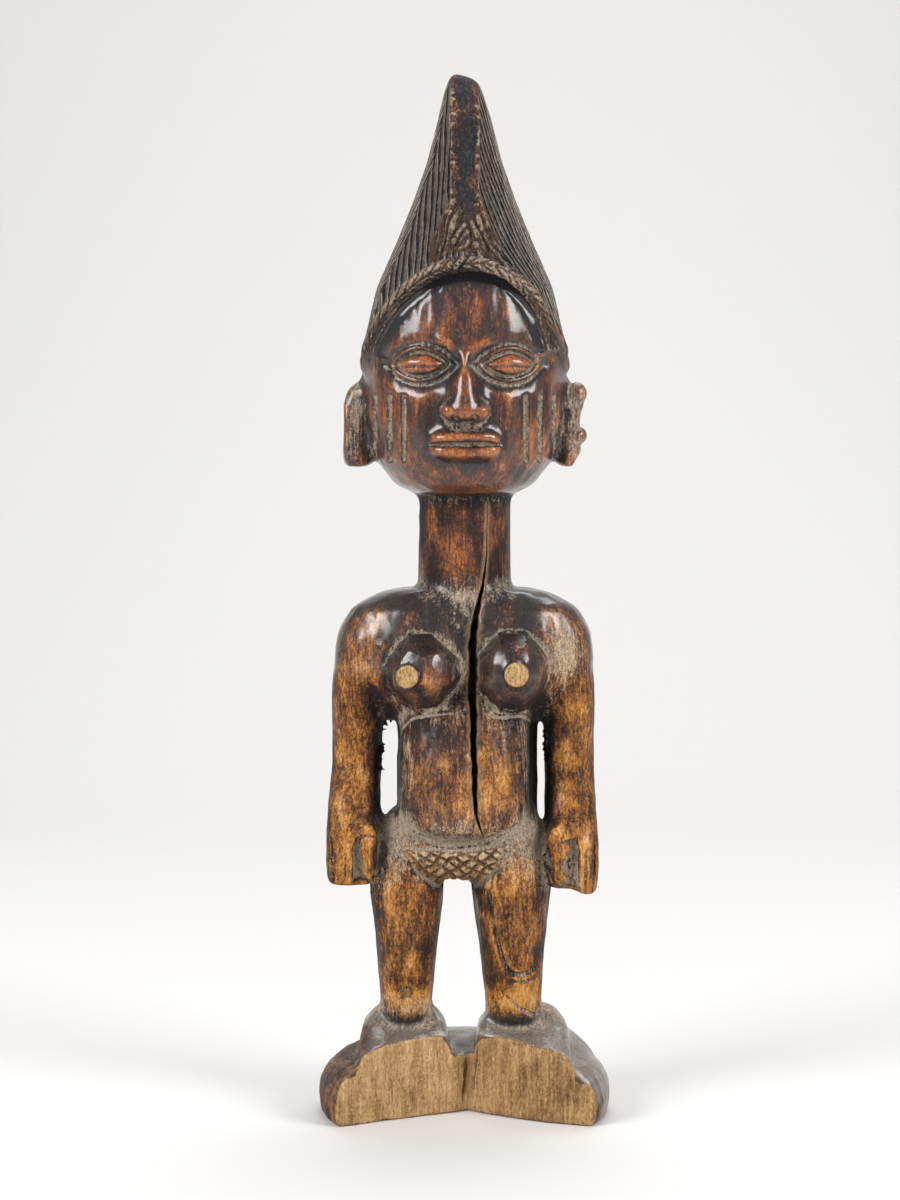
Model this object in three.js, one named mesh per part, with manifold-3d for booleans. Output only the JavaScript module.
// A carved twin figure (ibeji): a standing woman with a tall ridged hairstyle, her hands at her
// thighs, on a round base whose front has broken away together with her toes. It is one block of
// wood, so it is one mesh. Millimetres, +Z up, facing -Y, with the origin on the underside at the
// centre of the round base.
import * as THREE from "three";
import { mergeVertices } from "three/addons/utils/BufferGeometryUtils.js";
import Module from "manifold-3d";

const wasm = await Module();
wasm.setup();

// Heights, each counted up from the one before it
const baseEdgeHeight = 13.4;
const baseCrownRise = 4.6;
const instepRise = 10.3;
const legLength = 37.7;
const hipHeight = 14.3;
const bellyHeight = 32.5;
const chestHeight = 32.5;
const neckLength = 26;
const faceHeight = 60.2;
const crestHeight = 54;

const crownLevel = baseEdgeHeight + baseCrownRise;
const ankleLevel = crownLevel + instepRise;
const crotchLevel = ankleLevel + legLength;
const waistLevel = crotchLevel + hipHeight;
const breastLevel = waistLevel + bellyHeight;
const shoulderLevel = breastLevel + chestHeight;
const chinLevel = shoulderLevel + neckLength;
const hairlineLevel = chinLevel + faceHeight;
const tipLevel = hairlineLevel + crestHeight;

// Widths and depths
const baseRadius = 40.5;
const bodyBehindBase = 3;
const shoulderWidth = 74.4;
const chestDepth = 32;
const trunkWidth = 36.5;
const bellyDepth = 33;
const hipWidth = 49.5;
const hipDepth = 31;
const thighWidth = 21;
const armWidth = 14.6;
const neckWidth = 25.8;
const headWidth = 56.5;
const headDepth = 58;
const hairThickness = 1.8;

// Carved details
const crestRidgeWidth = 7.6;
const groovesEachSide = 13;
const grooveDepth = 0.9;
const hairlineSlope = 1.08;
const bandRadius = 1.9;
const knotCount = 17;
const breastRadius = 10.2;
const nippleRadius = 3.2;
const earHeight = 23;
const earThickness = 5.4;
const cheekMarkLength = 17;
const cheekMarkWidth = 2.2;
const crackWidth = 2.6;
const crackDepth = 14;

// Where the limbs stand: her right is at -X and her left at +X, a little nearer the middle
const legs = { right: { top: -15.8, foot: -16.2, girth: 1 }, left: { top: 12.7, foot: 13.8, girth: 1.08 } };
const feet = { right: { x: -16.6, half: 12.8 }, left: { x: 16.2, half: 13.6 } };
const breasts = { right: { x: -11.1, nipple: -4.2 }, left: { x: 12.6, nipple: 1.2 } };
const arms = { right: { x: -29.7, hand: -30.8, drop: 0 }, left: { x: 29, hand: 29.6, drop: 2.2 } };

const DEGREE = Math.PI / 180;

// A smooth curve through [place, value] pairs that never overshoots them.
function curve(...pairs) {
  const secants = pairs.slice(1).map(([at, value], i) => (value - pairs[i][1]) / (at - pairs[i][0]));
  const slopes = pairs.map((_, i) => {
    const before = secants[i - 1] ?? secants[i];
    const after = secants[i] ?? before;
    return before * after > 0 ? (2 * before * after) / (before + after) : 0;
  });
  return (place) => {
    const next = pairs.findIndex(([at]) => at > place);
    const i = next < 0 ? pairs.length - 2 : Math.max(next - 1, 0);
    const span = pairs[i + 1][0] - pairs[i][0];
    const t = THREE.MathUtils.clamp((place - pairs[i][0]) / span, 0, 1);
    const rise = t * t * (3 - 2 * t);
    const lead = t * (1 - t) * (1 - t) * span * slopes[i];
    const trail = t * t * (1 - t) * span * slopes[i + 1];
    return pairs[i][1] * (1 - rise) + pairs[i + 1][1] * rise + lead - trail;
  };
}

// Shares from 0 to 1, closer together towards both ends.
function easedShares(steps) {
  return Array.from({ length: steps + 1 }, (_, i) => (1 - Math.cos((Math.PI * i) / steps)) / 2);
}

// A level ring of points, anticlockwise from +X: half as wide as wide, with its own depths to the
// front (-Y) and the back. A squareness of 2 is an ellipse, and lift raises the ring's two sides.
function ring(count, { x = 0, y = 0, z, wide, front, back = front, square = 2, lift = 0 }) {
  return Array.from({ length: count }, (_, i) => {
    const angle = (2 * Math.PI * i) / count;
    const across = Math.sign(Math.cos(angle)) * Math.abs(Math.cos(angle)) ** (2 / square);
    const along = Math.sign(Math.sin(angle)) * Math.abs(Math.sin(angle)) ** (2 / square);
    const depth = along < 0 ? front : back;
    return new THREE.Vector3(x + wide * across, y + depth * along, z + lift * across * across);
  });
}

// How far forward the surface of a ring's shape lies at x.
function frontOf({ x: centre = 0, y = 0, wide, front, square = 2 }, x) {
  const across = Math.min(Math.abs(x - centre) / wide, 1);
  return y - front * (1 - across ** square) ** (1 / square);
}

// A closed surface through rings of equal count, listed upwards, with a fan over each end.
function loft(rings) {
  const count = rings[0].length;
  const points = rings.flat();
  const faces = [];
  for (let level = 0; level < rings.length - 1; level++) {
    for (let i = 0; i < count; i++) {
      const a = level * count + i;
      const b = level * count + ((i + 1) % count);
      faces.push(a, b, b + count, a, b + count, a + count);
    }
  }
  const lastRing = (rings.length - 1) * count;
  for (const start of [0, lastRing]) {
    const middle = new THREE.Vector3();
    points.slice(start, start + count).forEach((point) => middle.addScaledVector(point, 1 / count));
    const hub = points.push(middle) - 1;
    for (let i = 0; i < count; i++) {
      const a = start + i;
      const b = start + ((i + 1) % count);
      faces.push(...(start === 0 ? [hub, b, a] : [hub, a, b]));
    }
  }
  return new THREE.BufferGeometry().setFromPoints(points).setIndex(faces);
}

// A body of level rings between two heights. shape gives a ring for its share of the way up.
function body(count, steps, low, high, shape) {
  const rings = easedShares(steps).map((share) =>
    ring(count, { z: THREE.MathUtils.lerp(low, high, share), ...shape(share) }),
  );
  return loft(rings);
}

// A round bar of a few sides that follows a path.
function bar(points, steps, sides, radius) {
  const section = new THREE.Shape();
  for (let i = 0; i < sides; i++) {
    const angle = (2 * Math.PI * (i + 0.5)) / sides;
    section[i ? "lineTo" : "moveTo"](radius * Math.cos(angle), radius * Math.sin(angle));
  }
  const path = new THREE.CatmullRomCurve3(points);
  return new THREE.ExtrudeGeometry(section, { steps, extrudePath: path });
}

// A geometry turned about Z, then moved into place.
function placed(geometry, x, y, z, turn = 0) {
  return geometry.clone().rotateZ(turn).translate(x, y, z);
}

// A geometry as a solid that can be joined and cut.
function solid(geometry) {
  const bare = new THREE.BufferGeometry();
  bare.setAttribute("position", geometry.getAttribute("position").clone());
  bare.setIndex(geometry.index);
  const merged = mergeVertices(bare, 1e-4);
  const vertProperties = new Float32Array(merged.getAttribute("position").array);
  const triVerts = new Uint32Array(merged.index.array);
  const made = new wasm.Manifold(new wasm.Mesh({ numProp: 3, vertProperties, triVerts }));
  if (made.volume() > 0) return made;
  const turned = new Uint32Array(triVerts).reverse();
  return new wasm.Manifold(new wasm.Mesh({ numProp: 3, vertProperties, triVerts: turned }));
}

function joined(geometries) {
  return geometries.map(solid).reduce((whole, next) => whole.add(next));
}

// Base: a low round block with a full edge, swelling behind her left foot. A shallow channel runs
// back between the feet.
function roundBase() {
  const reach = curve(
    [0, 0.97],
    [0.08, 0.99],
    [0.35, 1],
    [0.55, 0.985],
    [0.8, 0.9],
    [0.92, 0.78],
    [1, 0.45],
  );
  const block = body(36, 8, 0, crownLevel, (share) => ({
    wide: baseRadius * reach(share),
    front: baseRadius * reach(share),
  }));
  const swelling = body(18, 6, baseEdgeHeight * 0.6, baseEdgeHeight * 1.75, (share) => {
    const spread = baseRadius * Math.max(Math.sqrt(1 - share ** 2), 0.15);
    return { x: baseRadius * 0.42, y: baseRadius * 0.2, wide: spread * 0.52, front: spread * 0.57 };
  });
  const channel = new THREE.BoxGeometry(6.4, 2 * baseRadius, 12).rotateX(8 * DEGREE);
  return solid(block)
    .add(solid(swelling))
    .subtract(solid(placed(channel, 0.4, -baseRadius * 0.3, baseEdgeHeight + 7.8)));
}

// Foot: a block under the leg, highest at the ankle and sloping forward along the instep
function foot({ x, half }) {
  const low = baseEdgeHeight * 0.4;
  const heel = baseRadius * 0.42;
  const toe = baseRadius * 0.95;
  const wide = curve([0, 1], [0.6, 0.99], [0.75, 0.94], [0.9, 0.82], [1, 0.6]);
  const reach = curve(
    [0, 1],
    [0.44, 0.84],
    [0.57, 0.54],
    [0.63, 0.42],
    [0.69, 0.3],
    [0.74, 0.15],
    [0.8, 0.09],
    [0.88, 0.05],
    [1, 0.01],
  );
  const back = curve([0, 1], [0.7, 0.96], [0.9, 0.8], [1, 0.55]);
  return body(18, 7, low, ankleLevel, (share) => ({
    x,
    wide: half * wide(share),
    front: toe * reach(share),
    back: heel * back(share),
    square: 4,
  }));
}

// Break: the front of the base and the toes split off along the grain, leaving two faces that
// meet in a shallow valley on the pith
function breakCutter() {
  const line = [
    [-1.5, -0.8],
    [-0.86, -0.5],
    [-0.43, -0.28],
    [-0.04, -0.1],
    [0.02, -0.04],
    [0.12, -0.14],
    [0.5, -0.36],
    [0.9, -0.5],
    [1.5, -0.76],
  ];
  const shape = new THREE.Shape();
  shape.moveTo(-1.5 * baseRadius, -2 * baseRadius);
  shape.lineTo(1.5 * baseRadius, -2 * baseRadius);
  line.reverse().forEach(([x, y]) => shape.lineTo(x * baseRadius, y * baseRadius));
  const tall = ankleLevel + 2;
  return new THREE.ExtrudeGeometry(shape, { depth: tall, bevelEnabled: false }).translate(0, 0, -1);
}

// Leg: tapering, with the knee a little forward and the calf full behind
function leg({ top, foot: bottom, girth }) {
  const wide = curve([0, 0.67], [0.15, 0.69], [0.46, 0.81], [0.78, 1], [1, 1.03]);
  const back = curve([0, 0.85], [0.3, 1.12], [0.55, 0.95], [1, 1.1]);
  const lean = curve([0, 2], [0.55, -1.5], [1, 1]);
  return body(12, 6, crownLevel, crotchLevel + hipHeight * 0.6, (share) => {
    const half = (thighWidth / 2) * girth * wide(share);
    return {
      x: THREE.MathUtils.lerp(bottom, top, share),
      y: bodyBehindBase + lean(share),
      wide: half,
      front: half * 1.14,
      back: half * back(share),
      square: 2.3,
    };
  });
}

// Hips: a low block that carries the apron in front and the buttocks behind
function hipShape(share) {
  const wide = curve([0, 0.82], [0.25, 0.98], [0.6, 0.97], [1, 0.8]);
  const front = curve([0, 0.35], [0.2, 0.46], [0.4, 0.5], [0.7, 0.48], [1, 0.42]);
  return {
    x: -0.8,
    y: bodyBehindBase,
    wide: (hipWidth / 2) * wide(share),
    front: hipDepth * front(share),
    back: hipDepth * 0.46,
    square: 2.5,
  };
}
const hipLow = crotchLevel;
const hipHigh = waistLevel + hipHeight * 0.5;

function buttock(side) {
  const ball = new THREE.SphereGeometry(hipWidth * 0.25, 10, 7).scale(1, 0.95, 1.15);
  const y = bodyBehindBase + hipDepth * 0.29;
  return placed(ball, side * hipWidth * 0.23, y, crotchLevel + hipHeight * 0.62);
}

// Belly: a full barrel with a crisp lower edge that hangs lowest in the middle
function bellyShape(share) {
  const wide = curve([0, 0.93], [0.1, 1], [0.5, 1.01], [1, 0.98]);
  const front = curve([0, 0.5], [0.08, 0.62], [0.3, 0.66], [0.65, 0.59], [1, 0.5]);
  return {
    y: bodyBehindBase,
    wide: (trunkWidth / 2) * wide(share),
    front: bellyDepth * front(share),
    back: bellyDepth * 0.4,
    square: 2.8,
    lift: (1 - share) ** 2 * hipHeight * 0.32,
  };
}

const bellyLow = waistLevel - hipHeight * 0.24;

// Back: the trunk behind the belly, a little broader than it
function backShape(share) {
  const deep = curve([0, 0.42], [0.5, 0.34], [1, 0.42]);
  return {
    x: 0.8,
    y: bodyBehindBase,
    wide: trunkWidth * 0.54,
    front: 4,
    back: bellyDepth * deep(share),
    square: 2.6,
  };
}

// Chest: the chest and both shoulders in one, sloping into the arms below it
function chestShape(share) {
  const wide = curve(
    [0, 0.6],
    [0.15, 0.74],
    [0.4, 0.98],
    [0.55, 0.98],
    [0.69, 0.945],
    [0.8, 0.885],
    [0.89, 0.81],
    [0.975, 0.6],
    [1, 0.48],
  );
  const front = curve(
    [0, 0.3],
    [0.12, 0.4],
    [0.3, 0.5],
    [0.5, 0.53],
    [0.75, 0.51],
    [0.92, 0.45],
    [1, 0.38],
  );
  const back = curve([0, 0.36], [0.5, 0.5], [0.8, 0.46], [0.94, 0.38], [1, 0.3]);
  return {
    y: bodyBehindBase,
    wide: (shoulderWidth / 2) * wide(share),
    front: chestDepth * front(share),
    back: chestDepth * back(share),
    square: 2.5,
  };
}
const armpitLevel = breastLevel - chestHeight * 0.12;

// Breast: a blunt cone set in a shallow dish, with the stump of its broken nipple
const breastHeight = breastLevel + chestHeight * 0.33;

function dish({ x }) {
  const bowl = new THREE.SphereGeometry(breastRadius, 16, 4).rotateX(90 * DEGREE).scale(1.16, 0.26, 1.34);
  return placed(bowl, x, bodyBehindBase - chestDepth * 0.53, breastHeight);
}

function breast({ x, nipple }) {
  const cone = new THREE.SphereGeometry(breastRadius, 12, 7).rotateX(90 * DEGREE).scale(1, 1.15, 1.2);
  const peg = new THREE.CylinderGeometry(nippleRadius, nippleRadius * 1.12, breastRadius, 9);
  const lean = Math.atan(nipple / (breastRadius * 1.6));
  const y = bodyBehindBase - chestDepth * 0.38;
  return [
    placed(cone, x, y, breastHeight),
    placed(peg.translate(0, -breastRadius * 0.74, 0), x + nipple * 0.4, y, breastHeight - 1, lean),
  ];
}

// Arm: straight down from the shoulder, the elbow a little back, and a flat hand lying forward on
// the thigh, cut off square below
function arm({ x, hand, drop }) {
  const low = crotchLevel - 1.8 - drop;
  const wide = curve(
    [0, 0.46],
    [0.05, 0.51],
    [0.15, 0.535],
    [0.26, 0.53],
    [0.36, 0.505],
    [0.55, 0.48],
    [0.78, 0.505],
    [0.93, 0.48],
    [1, 0.36],
  );
  const deep = curve(
    [0, 0.5],
    [0.05, 0.56],
    [0.15, 0.62],
    [0.26, 0.6],
    [0.36, 0.55],
    [0.55, 0.57],
    [0.72, 0.7],
    [0.86, 0.8],
    [1, 0.72],
  );
  const lean = curve([0, -5.6], [0.15, -6], [0.26, -5], [0.36, -3], [0.55, 2.6], [0.75, 0.2], [1, 0]);
  const swing = curve([0, 1], [0.2, 1], [0.6, 0], [1, 0]);
  return body(12, 10, low, armpitLevel + chestHeight * 0.55, (share) => ({
    x: THREE.MathUtils.lerp(x, hand, swing(share)),
    y: bodyBehindBase + lean(share),
    wide: armWidth * wide(share),
    front: armWidth * deep(share),
    square: 2.6,
  }));
}

// Thumb: a wedge in front of the hand, pointing down
function thumb({ hand, drop }, side) {
  const low = crotchLevel + 3 - drop;
  const taper = curve([0, 0.07], [0.3, 0.13], [0.85, 0.2], [1, 0.15]);
  return body(6, 3, low, waistLevel + 1.5, (share) => ({
    x: hand - side * armWidth * 0.34,
    y: bodyBehindBase - 5 - armWidth * 0.52,
    wide: armWidth * taper(share),
    front: armWidth * 0.2,
    square: 2.2,
  }));
}

// Cuts between the thumb and the four fingers, from the front of the hand round to its outer side
function fingerCuts({ hand, drop }, side) {
  const low = crotchLevel - 4 - drop;
  const high = waistLevel - hipHeight * 0.06;
  const cut = new THREE.CylinderGeometry(1.2, 1.2, high - low, 4).rotateX(90 * DEGREE);
  return [-97, -48, -18, 12].map((angle) => {
    const across = Math.cos(angle * DEGREE) * armWidth * 0.56;
    const along = Math.sin(angle * DEGREE) * armWidth * 0.64;
    return placed(cut, hand + side * across, bodyBehindBase - 5.6 + along, (low + high) / 2);
  });
}

// Apron: a crescent of small pointed scales under the belly
function apronScales() {
  const middle = -2.8;
  const counts = [8, 7, 6, 5, 3];
  const reach = [0.25, 0.235, 0.2, 0.157, 0.09];
  const scale = new THREE.OctahedronGeometry(1).scale(1.9, 1.3, 1.5);
  return counts.flatMap((count, row) =>
    Array.from({ length: count }, (_, i) => {
      const across = (2 * i) / (count - 1) - 1;
      const x = middle + across * hipWidth * reach[row];
      const z = waistLevel - hipHeight * (0.34 + 0.152 * row);
      return placed(scale, x, frontOf(hipShape((z - hipLow) / (hipHigh - hipLow)), x), z);
    }),
  );
}

function neck() {
  const flare = curve([0, 1.06], [0.2, 1], [0.8, 0.99], [1, 1]);
  const low = shoulderLevel - chestHeight * 0.2;
  return body(18, 4, low, chinLevel + faceHeight * 0.1, (share) => ({
    y: bodyBehindBase - 1,
    wide: (neckWidth / 2) * flare(share),
    front: (neckWidth / 2) * flare(share),
  }));
}

// Head: broad and full, with the face rounded from side to side. Its crown is inside the hair.
const headTop = hairlineLevel + faceHeight * 0.3;
function headShape(share) {
  const wide = curve(
    [0, 0.52],
    [0.03, 0.7],
    [0.1, 0.87],
    [0.22, 0.98],
    [0.38, 1],
    [0.57, 0.96],
    [0.75, 0.82],
    [0.9, 0.55],
    [1, 0.2],
  );
  const front = curve(
    [0, 0.34],
    [0.05, 0.43],
    [0.13, 0.475],
    [0.32, 0.49],
    [0.6, 0.492],
    [0.72, 0.47],
    [0.8, 0.42],
    [0.9, 0.28],
    [1, 0.1],
  );
  const back = curve([0, 0.2], [0.1, 0.33], [0.3, 0.43], [0.6, 0.44], [0.8, 0.34], [1, 0.1]);
  return {
    y: bodyBehindBase,
    wide: (headWidth / 2 - hairThickness / 2) * wide(share),
    front: headDepth * front(share),
    back: headDepth * back(share),
    square: 2.35,
  };
}
function faceAt(x, z) {
  return frontOf(headShape((z - chinLevel) / (headTop - chinLevel)), x);
}

// How far the face is turned about Z at x, so that a cut there goes straight in.
function faceTurn(x, z) {
  return Math.atan2(faceAt(x + 0.5, z) - faceAt(x - 0.5, z), 1);
}

// Face: set out on equal thirds from the hairline to the chin, each eye a fifth of the width
const browLevel = chinLevel + (faceHeight * 2) / 3;
const noseLevel = chinLevel + faceHeight / 3;
const mouthLevel = chinLevel + (faceHeight * 2) / 9;
const eyeLevel = browLevel - faceHeight * 0.085;
const eyeHalf = headWidth * 0.125;
const eyeApart = headWidth * 0.215;

function socket(side) {
  const bowl = new THREE.SphereGeometry(1, 12, 7).scale(eyeHalf * 1.55, 4, eyeHalf * 1.02);
  const x = side * eyeApart;
  return placed(bowl, x, faceAt(x, eyeLevel) - 2.7, eyeLevel, faceTurn(x, eyeLevel));
}

function eye(side) {
  const x = side * eyeApart;
  const ball = new THREE.SphereGeometry(1, 10, 5).scale(eyeHalf * 0.9, 2.2, eyeHalf * 0.44);
  const lids = [1, -1].map((up) => {
    const points = easedShares(4).map((share) => {
      const across = 2 * share - 1;
      const px = x + across * eyeHalf;
      const pz = eyeLevel + up * eyeHalf * 0.52 * (1 - across * across);
      return new THREE.Vector3(px, faceAt(px, pz) + 0.9, pz);
    });
    return bar(points, 5, 4, 1.4);
  });
  return [placed(ball, x, faceAt(x, eyeLevel) + 1, eyeLevel, faceTurn(x, eyeLevel)), ...lids];
}

function nose() {
  const wide = curve([0, 0.12], [0.12, 0.125], [0.4, 0.075], [1, 0.05]);
  const proud = curve([0, 5.4], [0.15, 6], [0.6, 3.4], [1, 0.8]);
  return body(10, 5, noseLevel, browLevel, (share) => ({
    y: faceAt(0, THREE.MathUtils.lerp(noseLevel, browLevel, share)) + 2,
    wide: headWidth * wide(share),
    front: proud(share) + 2,
    back: 2,
    square: 1.8,
  }));
}

function lip(up) {
  const z = mouthLevel + up * 2;
  const roll = new THREE.SphereGeometry(1, 10, 5).scale(headWidth * 0.18, 3.2, 2.1);
  return placed(roll, 0, faceAt(0, z) + 0.4, z);
}

function cheekMarks() {
  const groove = new THREE.CylinderGeometry(cheekMarkWidth / 2, cheekMarkWidth / 2, cheekMarkLength, 4);
  const cutter = groove.rotateX(90 * DEGREE);
  const z = (noseLevel + mouthLevel) / 2 + 1;
  return [-1, 1].flatMap((side) =>
    [0.29, 0.36, 0.43].map((out) => {
      const x = side * headWidth * out;
      return placed(cutter, x, faceAt(x, z), z, faceTurn(x, z));
    }),
  );
}

// Ear: a thick upright plate with a bowl cut in its outer side. Her left one is worn to two knobs.
function ear(side, edge) {
  const low = chinLevel + faceHeight * 0.12;
  const reach = headWidth / 2 - 1.5;
  const plate = body(8, 7, low, low + earHeight, (share) => ({
    x: side * (reach + (earThickness * edge(share)) / 2),
    y: bodyBehindBase,
    wide: (earThickness * edge(share)) / 2 + 1.5,
    front: 6,
    square: 4,
  }));
  const bowl = new THREE.SphereGeometry(1, 8, 5).scale(2.4, 4.4, earHeight * 0.28);
  const out = side * (reach + earThickness + 1.6);
  return solid(plate).subtract(solid(placed(bowl, out, bodyBehindBase + 0.5, low + earHeight * 0.55)));
}
const wholeEar = curve([0, 0.72], [0.08, 1], [0.85, 1], [1, 0.5]);
const wornEar = curve([0, 0.3], [0.12, 0.5], [0.3, 1.05], [0.42, 0.55], [0.55, 0.6], [0.8, 1], [1, 0.35]);

// Hair: a tall crest with a flat ridge in front and behind, combed in grooves down both sides
const hairLow = chinLevel + faceHeight * 0.14;
const hairWide = curve(
  [-0.93, 0.84],
  [-0.7, 0.985],
  [-0.5, 1],
  [-0.3, 0.97],
  [-0.12, 0.885],
  [0.04, 0.755],
  [0.19, 0.635],
  [0.38, 0.49],
  [0.58, 0.36],
  [0.78, 0.26],
  [0.95, 0.18],
  [1, 0.13],
);
const hairFront = curve(
  [-0.93, 0.42],
  [-0.3, 0.52],
  [0, 0.505],
  [0.2, 0.39],
  [0.5, 0.27],
  [0.8, 0.185],
  [0.97, 0.14],
  [1, 0.1],
);
const hairBack = curve(
  [-0.93, 0.36],
  [-0.6, 0.47],
  [-0.1, 0.49],
  [0.3, 0.38],
  [0.7, 0.24],
  [0.97, 0.14],
  [1, 0.1],
);

// The outline of the hair at a height, without its grooves.
function hairShape(z) {
  const share = (z - hairlineLevel) / crestHeight;
  return {
    y: bodyBehindBase,
    wide: (headWidth / 2 + hairThickness * 0.3) * hairWide(share),
    front: (headDepth + hairThickness) * hairFront(share),
    back: (headDepth + hairThickness) * hairBack(share),
    square: 2.05,
  };
}

// One ring of hair. Each side has its grooves evenly round from the front ridge to the back one.
function hairRing(z) {
  const shape = hairShape(z);
  const depth = grooveDepth * Math.min(1, shape.wide / (headWidth * 0.2));
  const ridge = crestRidgeWidth / 2;
  const points = [];
  const stops = 2 * groovesEachSide + 1;
  for (const side of [1, -1]) {
    for (let stop = 0; stop <= stops; stop++) {
      const sweep = side > 0 ? stop / stops : 1 - stop / stops;
      const start = Math.asin(Math.min(ridge / shape.wide, 0.75));
      const angle = THREE.MathUtils.lerp(start, Math.PI - start, sweep);
      const turn = -Math.PI / 2 + side * angle;
      const valley = stop % 2 === (side > 0 ? 1 : 0) && stop > 0 && stop < stops ? depth : 0;
      const reach = Math.sin(turn) < 0 ? shape.front : shape.back;
      const x = (shape.wide - valley) * Math.cos(turn);
      const proud = stop === 0 || stop === stops ? depth : 0;
      points.push(new THREE.Vector3(x, shape.y + (reach - valley + proud) * Math.sin(turn), z));
    }
  }
  return points;
}

function hair() {
  const levels = [0, 0.14, 0.3, 0.45, 0.57, 0.67, 0.77, 0.87, 0.95, 0.985, 1];
  return loft(levels.map((share) => hairRing(THREE.MathUtils.lerp(hairLow, tipLevel, share))));
}

// The slanted plane that the hair stops at: up and back from the temples to the forehead.
function hairlineHeight(y) {
  return hairlineLevel - (y - bodyBehindBase + headDepth / 2) * hairlineSlope;
}

function faceCutter() {
  const size = 4 * headDepth;
  const block = new THREE.BoxGeometry(size, size, size).translate(0, 0, -size / 2);
  const foreheadY = bodyBehindBase - headDepth / 2;
  return block.rotateX(-Math.atan(hairlineSlope)).translate(0, foreheadY, hairlineLevel);
}

// Points along the hair's edge over the forehead, from temple to temple.
function hairlinePath(count) {
  return Array.from({ length: count }, (_, i) => {
    const angle = THREE.MathUtils.lerp(-172, -8, i / (count - 1)) * DEGREE;
    let low = hairLow;
    let high = hairlineLevel + crestHeight * 0.2;
    for (let step = 0; step < 30; step++) {
      const z = (low + high) / 2;
      const shape = hairShape(z);
      const y = shape.y + shape.front * Math.sin(angle);
      if (z < hairlineHeight(y)) low = z;
      else high = z;
    }
    const shape = hairShape(low);
    return new THREE.Vector3(shape.wide * Math.cos(angle), shape.y + shape.front * Math.sin(angle), low);
  });
}

// Plaited band along the hairline: a core with slanted knots on it in two rows
function hairBand() {
  const core = bar(hairlinePath(13), 16, 5, bandRadius);
  const knot = new THREE.OctahedronGeometry(bandRadius).scale(1.25, 0.6, 0.62);
  const path = new THREE.CatmullRomCurve3(hairlinePath(13));
  const knots = Array.from({ length: knotCount }, (_, i) => {
    const share = (i + 0.5) / knotCount;
    const point = path.getPointAt(share);
    const tangent = path.getTangentAt(share);
    const lean = (share < 0.5 ? 40 : -40) * DEGREE;
    const angle = Math.atan2(tangent.z, Math.hypot(tangent.x, tangent.y)) + lean;
    const turn = Math.atan2(tangent.y, tangent.x);
    return placed(knot.clone().rotateY(-angle), point.x, point.y - bandRadius * 0.55, point.z, turn);
  });
  return [core, ...knots];
}

// Crack: a drying split down the neck, between the breasts and through the belly
function crack() {
  const top = chinLevel - neckLength * 0.1;
  const x = curve(
    [0, 5.2],
    [0.07, 3],
    [0.19, 2.6],
    [0.5, 2.1],
    [0.64, 2.5],
    [0.74, 4.7],
    [0.84, 5.9],
    [1, 6.1],
  );
  const width = curve(
    [0, 0.2],
    [0.06, 0.5],
    [0.14, 0.72],
    [0.3, 0.75],
    [0.45, 1],
    [0.58, 0.95],
    [0.68, 0.55],
    [0.76, 0.3],
    [0.82, 0.14],
    [1, 0.05],
  );
  const surface = curve([0, -15], [0.2, -16], [0.45, -13], [0.6, -13], [0.75, -10.5], [1, -11]);
  const depth = curve([0, 0.4], [0.15, 0.9], [0.6, 1], [0.78, 0.35], [1, 0.15]);
  const rings = Array.from({ length: 14 }, (_, i) => {
    const share = i / 13;
    const z = THREE.MathUtils.lerp(bellyLow + 1.2, top, share);
    const half = (crackWidth / 2) * width(share);
    const bottom = surface(share) + crackDepth * depth(share);
    const outline = [
      [-half, -headDepth],
      [half, -headDepth],
      [half * 0.9, surface(share) + 2],
      [0, bottom],
      [-half * 0.9, surface(share) + 2],
    ];
    return outline.map(([across, y]) => new THREE.Vector3(x(share) + across, bodyBehindBase + y, z));
  });
  return loft(rings);
}

function figure() {
  const stand = roundBase().add(joined([foot(feet.right), foot(feet.left)])).subtract(solid(breakCutter()));
  const chest = solid(body(22, 8, armpitLevel, shoulderLevel, chestShape));
  const trunk = joined([
    leg(legs.right),
    leg(legs.left),
    body(20, 5, hipLow, hipHigh, hipShape),
    buttock(-1),
    buttock(1),
    body(18, 6, bellyLow, breastLevel + chestHeight * 0.12, bellyShape),
    body(14, 3, waistLevel - 3, breastLevel + 3, backShape),
    neck(),
  ]);
  const bosom = joined([...breast(breasts.right), ...breast(breasts.left)]);
  const limbs = joined([arm(arms.right), arm(arms.left)]);
  const cuts = joined([...fingerCuts(arms.right, -1), ...fingerCuts(arms.left, 1)]);
  const thumbs = joined([thumb(arms.right, -1), thumb(arms.left, 1)]);
  const torso = chest
    .add(trunk)
    .subtract(joined([dish(breasts.right), dish(breasts.left)]))
    .add(bosom)
    .add(limbs)
    .subtract(cuts)
    .add(thumbs)
    .add(joined(apronScales()))
    .subtract(solid(crack()));
  const head = solid(body(22, 9, chinLevel, headTop, headShape))
    .subtract(joined([socket(-1), socket(1), ...cheekMarks()]))
    .add(joined([...eye(-1), ...eye(1), nose(), lip(1), lip(-1)]));
  const coiffure = solid(hair()).subtract(solid(faceCutter())).add(joined(hairBand()));
  return stand.add(torso).add(head).add(coiffure).add(ear(-1, wholeEar)).add(ear(1, wornEar));
}

// The carved solid as a three.js geometry with flat facets.
function geometryOf(made) {
  const mesh = made.getMesh();
  const geometry = new THREE.BufferGeometry();
  geometry.setAttribute("position", new THREE.BufferAttribute(mesh.vertProperties, 3));
  geometry.setIndex(new THREE.BufferAttribute(mesh.triVerts, 1));
  geometry.computeVertexNormals();
  return geometry;
}

const darkWood = new THREE.MeshStandardMaterial({ color: 0x4a2c1a, roughness: 0.45, metalness: 0 });
const twin = new THREE.Mesh(geometryOf(figure()), darkWood);
twin.name = "twin_figure";

const part = new THREE.Group();
part.add(twin);
export default part;
